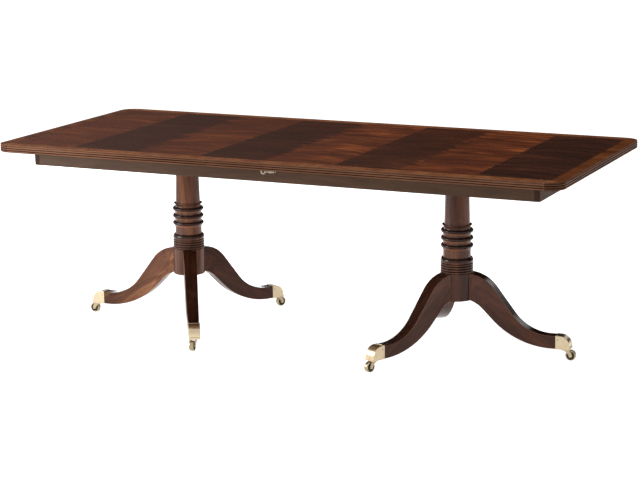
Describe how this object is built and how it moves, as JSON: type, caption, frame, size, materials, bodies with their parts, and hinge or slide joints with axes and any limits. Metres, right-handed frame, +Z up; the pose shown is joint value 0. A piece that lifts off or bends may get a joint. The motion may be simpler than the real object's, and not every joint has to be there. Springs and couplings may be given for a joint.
{
  "type": "double pedestal dining table",
  "caption": "Extending pedestal dining table with a crossbanded flame veneer top, reeded edge, turned columns, sabre legs and brass toe caps on swivel castors.",
  "frame": {"origin": "on the floor under the middle of the closed table", "axes": "+X along the length towards the half that draws out, +Z up, the front with the latch in the picture faces -Y"},
  "size_m": [2.235, 1.016, 0.762],
  "materials": {
    "light_flame_veneer": "satin lacquer",
    "dark_flame_veneer": "satin lacquer",
    "crossband_veneer": "satin lacquer",
    "edge_mahogany": "satin lacquer",
    "core_wood": "raw",
    "apron_mahogany": "satin lacquer",
    "pedestal_mahogany": "satin lacquer",
    "underframe_wood": "raw",
    "slide_beech": "waxed",
    "black_iron": "black",
    "dark_brass": "aged",
    "cast_brass": "lacquered"
  },
  "bodies": {
    "left_half": {"hook_pivots": "dark_brass", "left_back_apron": "apron_mahogany", "left_back_leg": "pedestal_mahogany", "left_column": "pedestal_mahogany", "left_core_panel": "core_wood", "left_corner_blocks": "underframe_wood", "left_crossband": "crossband_veneer", "left_dark_veneers": "dark_flame_veneer", "left_end_apron": "apron_mahogany", "left_front_apron": "apron_mahogany", "left_front_leg": "pedestal_mahogany", "left_joint_rail": "underframe_wood", "left_leg_plate": "black_iron", "left_light_veneers": "light_flame_veneer", "left_outer_leg": "pedestal_mahogany", "left_pedestal_block": "underframe_wood", "left_reeded_edge": "edge_mahogany", "left_slide_runners": "slide_beech", "left_toe_caps": "cast_brass"},
    "right_half": {"joint_dowels": "slide_beech", "latch_keepers": "dark_brass", "right_back_apron": "apron_mahogany", "right_back_leg": "pedestal_mahogany", "right_column": "pedestal_mahogany", "right_core_panel": "core_wood", "right_corner_blocks": "underframe_wood", "right_crossband": "crossband_veneer", "right_dark_veneers": "dark_flame_veneer", "right_end_apron": "apron_mahogany", "right_front_apron": "apron_mahogany", "right_front_leg": "pedestal_mahogany", "right_joint_rail": "underframe_wood", "right_leg_plate": "black_iron", "right_light_veneers": "light_flame_veneer", "right_outer_leg": "pedestal_mahogany", "right_pedestal_block": "underframe_wood", "right_reeded_edge": "edge_mahogany", "right_slide_runners": "slide_beech", "right_toe_caps": "cast_brass"},
    "middle_slides": {"middle_slides": "slide_beech"},
    "front_hook": {"front_latch_hook": "cast_brass"},
    "back_hook": {"back_latch_hook": "cast_brass"},
    "left_outer_horn": {"left_outer_castor_horn": "cast_brass"},
    "left_outer_wheel": {"left_outer_castor_wheel": "cast_brass"},
    "left_front_horn": {"left_front_castor_horn": "cast_brass"},
    "left_front_wheel": {"left_front_castor_wheel": "cast_brass"},
    "left_back_horn": {"left_back_castor_horn": "cast_brass"},
    "left_back_wheel": {"left_back_castor_wheel": "cast_brass"},
    "right_outer_horn": {"right_outer_castor_horn": "cast_brass"},
    "right_outer_wheel": {"right_outer_castor_wheel": "cast_brass"},
    "right_front_horn": {"right_front_castor_horn": "cast_brass"},
    "right_front_wheel": {"right_front_castor_wheel": "cast_brass"},
    "right_back_horn": {"right_back_castor_horn": "cast_brass"},
    "right_back_wheel": {"right_back_castor_wheel": "cast_brass"}
  },
  "joints": [
    {"name": "table_extension", "type": "slide", "parent": "left_half", "child": "right_half", "axis": [1, 0, 0], "range_m": [0, 1.016]},
    {"name": "slides_travel", "type": "slide", "parent": "left_half", "child": "middle_slides", "axis": [1, 0, 0], "range_m": [0, 0.508]},
    {"name": "front_latch_turn", "type": "hinge", "parent": "left_half", "child": "front_hook", "pos_m": [-0.037, -0.3994, 0.7095], "axis": [0, -1, 0], "range_deg": [-8, 20]},
    {"name": "back_latch_turn", "type": "hinge", "parent": "left_half", "child": "back_hook", "pos_m": [-0.037, 0.3994, 0.7095], "axis": [0, -1, 0], "range_deg": [-8, 20]},
    {"name": "left_outer_swivel", "type": "hinge", "parent": "left_half", "child": "left_outer_horn", "pos_m": [-0.976, 0, 0.042], "axis": [0, 0, 1], "continuous": true},
    {"name": "left_outer_roll", "type": "hinge", "parent": "left_outer_horn", "child": "left_outer_wheel", "pos_m": [-1.001, 0, 0.0195], "axis": [0, -1, 0], "continuous": true},
    {"name": "left_front_swivel", "type": "hinge", "parent": "left_half", "child": "left_front_horn", "pos_m": [-0.358, -0.3568, 0.042], "axis": [0, 0, 1], "continuous": true},
    {"name": "left_front_roll", "type": "hinge", "parent": "left_front_horn", "child": "left_front_wheel", "pos_m": [-0.35366, -0.38142, 0.0195], "axis": [0.9848, 0.1736, 0], "continuous": true},
    {"name": "left_back_swivel", "type": "hinge", "parent": "left_half", "child": "left_back_horn", "pos_m": [-0.358, 0.3568, 0.042], "axis": [0, 0, 1], "continuous": true},
    {"name": "left_back_roll", "type": "hinge", "parent": "left_back_horn", "child": "left_back_wheel", "pos_m": [-0.3455, 0.37845, 0.0195], "axis": [-0.866, 0.5, 0], "continuous": true},
    {"name": "right_outer_swivel", "type": "hinge", "parent": "right_half", "child": "right_outer_horn", "pos_m": [0.97473, 0.03232, 0.042], "axis": [0, 0, 1], "continuous": true},
    {"name": "right_outer_roll", "type": "hinge", "parent": "right_outer_horn", "child": "right_outer_wheel", "pos_m": [0.99965, 0.03429, 0.0195], "axis": [-0.0785, 0.9969, 0], "continuous": true},
    {"name": "right_front_swivel", "type": "hinge", "parent": "right_half", "child": "right_front_horn", "pos_m": [0.38663, -0.37187, 0.042], "axis": [0, 0, 1], "continuous": true},
    {"name": "right_front_roll", "type": "hinge", "parent": "right_front_horn", "child": "right_front_wheel", "pos_m": [0.37587, -0.39443, 0.0195], "axis": [0.9026, -0.4305, 0], "continuous": true},
    {"name": "right_back_swivel", "type": "hinge", "parent": "right_half", "child": "right_back_horn", "pos_m": [0.33064, 0.33954, 0.042], "axis": [0, 0, 1], "continuous": true},
    {"name": "right_back_roll", "type": "hinge", "parent": "right_back_horn", "child": "right_back_wheel", "pos_m": [0.31648, 0.36014, 0.0195], "axis": [-0.8241, -0.5664, 0], "continuous": true}
  ],
  "couplings": [
    {"joint": "slides_travel", "follows": "table_extension", "ratio": 0.5}
  ]
}
